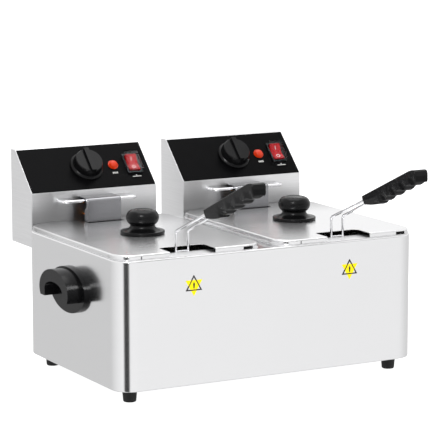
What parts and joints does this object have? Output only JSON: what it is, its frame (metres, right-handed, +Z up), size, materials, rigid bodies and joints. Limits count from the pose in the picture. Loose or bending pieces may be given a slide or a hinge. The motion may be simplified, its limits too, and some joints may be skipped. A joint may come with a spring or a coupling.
{
  "type": "countertop deep fryer",
  "caption": "Countertop deep fryer: steel casing with side handles, lift-out oil wells under knobbed lids, long-handled baskets and sloped control heads on the rear edge.",
  "frame": {"origin": "on the resting plane, under the middle of the whole fryer's bounding box", "axes": "+X across the front towards the right-hand side of a person facing it, +Y from the basket handles at the front to the control heads at the rear, +Z up"},
  "size_m": [0.556, 0.609, 0.3383],
  "materials": {
    "casing_steel": "bright polished stainless sheet with a faint brush",
    "tank_steel": "deep-drawn bright stainless sheet",
    "head_steel": "satin brushed stainless sheet",
    "guard_steel": "heat-toned satin stainless sheet",
    "zinc_steel": "galvanised sheet",
    "screw_steel": "plated steel",
    "chrome_rod": "bright chrome-plated wire and rod",
    "basket_steel": "nickel-plated wire mesh, closed over in this model",
    "heater_steel": "dark oxidised heater sheath",
    "copper": "bare copper capillary and bulb",
    "foot_rubber": "matt black rubber",
    "black_phenolic": "black phenolic moulding with a low sheen",
    "black_nylon": "black nylon moulding",
    "brown_phenolic": "brown phenolic moulding",
    "ceramic": "cream glazed ceramic and steatite",
    "black_label": "printed film, satin black",
    "yellow_label": "printed film, yellow with a dark border",
    "red_plastic": "glossy red moulding",
    "red_lens": "translucent red lens",
    "clear_plastic": "clear moulded splash cover"
  },
  "bodies": {
    "casing": {"casing_shell": "casing_steel", "base_plate": "zinc_steel", "deck_divider": "casing_steel", "feet": "foot_rubber", "body_screws": "screw_steel", "side_handles": "black_phenolic", "caution_labels": "yellow_label"},
    "tank_left": {"tank_left": "tank_steel"},
    "head_left": {"housing_left": "head_steel", "back_cover_left": "head_steel", "control_label_left": "black_label", "heat_lamp_left": "red_lens", "switch_body_left": "black_nylon", "switch_cover_left": "clear_plastic", "thermostat_left": "ceramic", "limiter_left": "brown_phenolic", "terminal_block_left": "ceramic", "cable_gland_left": "black_nylon", "interlock_switch_left": "black_nylon", "element_left": "heater_steel", "element_guard_left": "guard_steel", "hanger_rod_left": "chrome_rod", "sensor_bulbs_left": "copper", "head_screws_left": "screw_steel"},
    "knob_left": {"knob_left": "black_phenolic", "knob_shaft_left": "screw_steel"},
    "rocker_left": {"rocker_left": "red_plastic"},
    "reset_left": {"reset_button_left": "red_plastic"},
    "basket_left": {"basket_left": "basket_steel", "handle_wires_left": "chrome_rod", "grip_left": "black_phenolic"},
    "lid_left": {"lid_left": "casing_steel", "lid_knob_left": "black_phenolic"},
    "tank_right": {"tank_right": "tank_steel"},
    "head_right": {"housing_right": "head_steel", "back_cover_right": "head_steel", "control_label_right": "black_label", "heat_lamp_right": "red_lens", "switch_body_right": "black_nylon", "switch_cover_right": "clear_plastic", "thermostat_right": "ceramic", "limiter_right": "brown_phenolic", "terminal_block_right": "ceramic", "cable_gland_right": "black_nylon", "interlock_switch_right": "black_nylon", "element_right": "heater_steel", "element_guard_right": "guard_steel", "hanger_rod_right": "chrome_rod", "sensor_bulbs_right": "copper", "head_screws_right": "screw_steel"},
    "knob_right": {"knob_right": "black_phenolic", "knob_shaft_right": "screw_steel"},
    "rocker_right": {"rocker_right": "red_plastic"},
    "reset_right": {"reset_button_right": "red_plastic"},
    "basket_right": {"basket_right": "basket_steel", "handle_wires_right": "chrome_rod", "grip_right": "black_phenolic"},
    "lid_right": {"lid_right": "casing_steel", "lid_knob_right": "black_phenolic"}
  },
  "joints": [
    {"name": "tank_lift_left", "type": "slide", "parent": "casing", "child": "tank_left", "axis": [0, 0, 1], "range_m": [0, 0.15]},
    {"name": "head_lift_left", "type": "slide", "parent": "tank_left", "child": "head_left", "axis": [0, 0, 1], "range_m": [0, 0.16]},
    {"name": "knob_turn_left", "type": "hinge", "parent": "head_left", "child": "knob_left", "pos_m": [-0.131, 0.24274, 0.29275], "axis": [0, 0.7013, -0.7129], "range_deg": [0, 270]},
    {"name": "rocker_press_left", "type": "hinge", "parent": "head_left", "child": "rocker_left", "pos_m": [-0.0515, 0.24379, 0.29168], "axis": [-1, 0, 0], "range_deg": [0, 12]},
    {"name": "reset_press_left", "type": "slide", "parent": "head_left", "child": "reset_left", "axis": [0, -1, 0], "range_m": [0, 0.002], "stiffness_N_per_m": 200},
    {"name": "basket_lift_left", "type": "slide", "parent": "head_left", "child": "basket_left", "axis": [0, 0, 1], "range_m": [0, 0.018]},
    {"name": "lid_tilt_left", "type": "hinge", "parent": "basket_left", "child": "lid_left", "pos_m": [-0.131, 0.20799, 0.2107], "axis": [-1, 0, 0], "range_deg": [0, 25]},
    {"name": "tank_lift_right", "type": "slide", "parent": "casing", "child": "tank_right", "axis": [0, 0, 1], "range_m": [0, 0.15]},
    {"name": "head_lift_right", "type": "slide", "parent": "tank_right", "child": "head_right", "axis": [0, 0, 1], "range_m": [0, 0.16]},
    {"name": "knob_turn_right", "type": "hinge", "parent": "head_right", "child": "knob_right", "pos_m": [0.131, 0.24274, 0.29275], "axis": [0, 0.7013, -0.7129], "range_deg": [0, 270]},
    {"name": "rocker_press_right", "type": "hinge", "parent": "head_right", "child": "rocker_right", "pos_m": [0.2105, 0.24379, 0.29168], "axis": [-1, 0, 0], "range_deg": [0, 12]},
    {"name": "reset_press_right", "type": "slide", "parent": "head_right", "child": "reset_right", "axis": [0, -1, 0], "range_m": [0, 0.002], "stiffness_N_per_m": 200},
    {"name": "basket_lift_right", "type": "slide", "parent": "head_right", "child": "basket_right", "axis": [0, 0, 1], "range_m": [0, 0.018]},
    {"name": "lid_tilt_right", "type": "hinge", "parent": "basket_right", "child": "lid_right", "pos_m": [0.131, 0.20799, 0.2107], "axis": [-1, 0, 0], "range_deg": [0, 25]}
  ]
}
